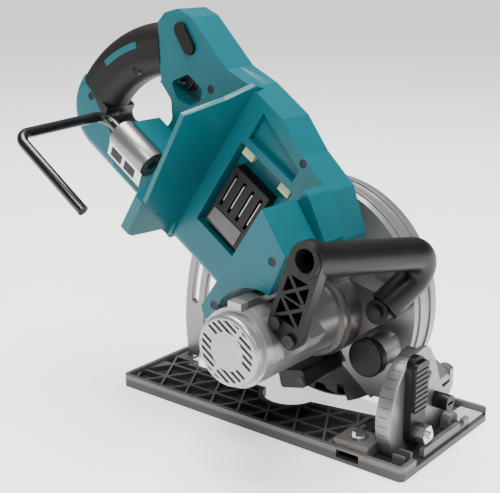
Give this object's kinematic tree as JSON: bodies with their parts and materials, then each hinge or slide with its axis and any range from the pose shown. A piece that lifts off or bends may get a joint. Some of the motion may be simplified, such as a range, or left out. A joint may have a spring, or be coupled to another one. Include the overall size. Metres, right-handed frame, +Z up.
{
  "type": "cordless circular saw",
  "caption": "Cordless circular saw with a teal rear-handle housing, black front handle, hanging hook, retracting lower guard and a ribbed cast sole that tilts for bevel and depth.",
  "frame": {"origin": "on the sole's underside, in the blade's plane, straight under the depth pivot", "axes": "+X is the cutting direction, +Y the blade side, +Z up"},
  "size_m": [0.3732, 0.2402, 0.3273],
  "materials": {
    "cast_dark": "satin cast metal, dark grey",
    "cast_pale": "satin die cast",
    "guard_grey": "satin painted light alloy",
    "motor_silver": "silver grey satin",
    "zinc": "zinc plated",
    "sight_pale": "clear pale plastic",
    "black_plastic": "matte moulded plastic",
    "blade_steel": "dark ground steel",
    "drive_steel": "machined steel",
    "laminated_steel": "laminated core",
    "teal_plastic": "satin moulded plastic, teal",
    "grip_rubber": "soft elastomer",
    "pad_green": "soft pale yellow green",
    "lamp_clear": "frosted lamp cover",
    "hook_black": "black coated rod"
  },
  "bodies": {
    "base": {"base_plate": "cast_dark", "fence_bridge": "cast_dark", "bevel_quadrant": "cast_pale", "bevel_pins": "zinc", "sight_plate": "sight_pale"},
    "fence_screw": {"fence_screw": "zinc"},
    "stop_knob": {"stop_knob": "black_plastic"},
    "carriage": {"front_carriage": "cast_pale", "depth_pivot_pin": "zinc", "depth_guide": "cast_pale", "bevel_bolt": "zinc"},
    "bevel_lever": {"bevel_lever": "black_plastic", "bevel_nut": "zinc"},
    "saw": {"upper_guard": "guard_grey", "bearing_box": "cast_pale", "gear_case": "cast_pale", "motor_housing": "motor_silver", "motor_cap": "motor_silver", "stator": "laminated_steel", "spindle_front_bearing": "drive_steel", "spindle_rear_bearing": "drive_steel", "rotor_front_bearing": "drive_steel", "rotor_rear_bearing": "drive_steel", "work_lamp": "black_plastic", "lamp_lens": "lamp_clear", "housing_left": "teal_plastic", "housing_right": "teal_plastic", "grip_cover": "grip_rubber", "housing_screws": "zinc", "switch": "black_plastic", "terminal_block": "black_plastic", "bay_pads": "pad_green", "controller": "black_plastic", "depth_bolt": "zinc", "front_handle": "black_plastic", "handle_screws": "zinc", "hook_bracket": "cast_pale", "dust_cap": "black_plastic"},
    "lower_guard": {"lower_guard": "guard_grey", "guard_lever": "black_plastic"},
    "spindle": {"spindle": "drive_steel", "inner_flange": "blade_steel", "outer_flange": "blade_steel", "blade_bolt": "zinc", "blade": "blade_steel", "drive_gear": "drive_steel"},
    "rotor": {"rotor_shaft": "drive_steel", "pinion": "drive_steel", "rotor_core": "laminated_steel", "fan": "black_plastic"},
    "trigger": {"trigger": "black_plastic"},
    "lock_off": {"lock_off": "black_plastic"},
    "depth_lever": {"depth_lever": "black_plastic"},
    "hook": {"hook": "hook_black"}
  },
  "joints": [
    {"name": "bevel", "type": "hinge", "parent": "base", "child": "carriage", "pos_m": [0, 0, 0.011], "axis": [-1, 0, 0], "range_deg": [0, 50]},
    {"name": "depth", "type": "hinge", "parent": "carriage", "child": "saw", "pos_m": [0, 0, 0.04], "axis": [0, -1, 0], "range_deg": [0, 28]},
    {"name": "fence_screw_turn", "type": "hinge", "parent": "base", "child": "fence_screw", "pos_m": [-0.018, -0.078, 0.018], "axis": [0, 0, 1], "continuous": true},
    {"name": "stop_knob_turn", "type": "hinge", "parent": "base", "child": "stop_knob", "pos_m": [0.015, -0.014, 0.033], "axis": [1, 0, 0], "continuous": true},
    {"name": "bevel_lever_turn", "type": "hinge", "parent": "carriage", "child": "bevel_lever", "pos_m": [0.014, -0.05203, 0.02111], "axis": [1, 0, 0], "range_deg": [0, 60]},
    {"name": "lower_guard_swing", "type": "hinge", "parent": "saw", "child": "lower_guard", "pos_m": [-0.10703, 0, 0.0956], "axis": [0, 1, 0], "range_deg": [0, 130], "stiffness_Nm_per_rad": 0.25, "springref_deg": -68.75},
    {"name": "spindle_spin", "type": "hinge", "parent": "saw", "child": "spindle", "pos_m": [-0.10703, 0, 0.0956], "axis": [0, 1, 0], "continuous": true},
    {"name": "rotor_spin", "type": "hinge", "parent": "saw", "child": "rotor", "pos_m": [-0.07591, -0.09, 0.09849], "axis": [0, 1, 0], "continuous": true},
    {"name": "trigger_pull", "type": "slide", "parent": "saw", "child": "trigger", "axis": [-0.8241, 0, 0.5664], "range_m": [0, 0.006], "stiffness_N_per_m": 900, "springref_m": -0.003},
    {"name": "lock_off_push", "type": "slide", "parent": "saw", "child": "lock_off", "axis": [0, 1, 0], "range_m": [0, 0.0035], "stiffness_N_per_m": 700, "springref_m": -0.002},
    {"name": "depth_lever_turn", "type": "hinge", "parent": "saw", "child": "depth_lever", "pos_m": [-0.19649, -0.008, 0.17254], "axis": [0, -1, 0], "range_deg": [0, 60]},
    {"name": "hook_swing", "type": "hinge", "parent": "saw", "child": "hook", "pos_m": [-0.23818, -0.096, 0.22311], "axis": [-0.8241, 0, 0.5664], "range_deg": [0, 90]}
  ],
  "couplings": [
    {"joint": "rotor_spin", "follows": "spindle_spin", "ratio": -4}
  ]
}
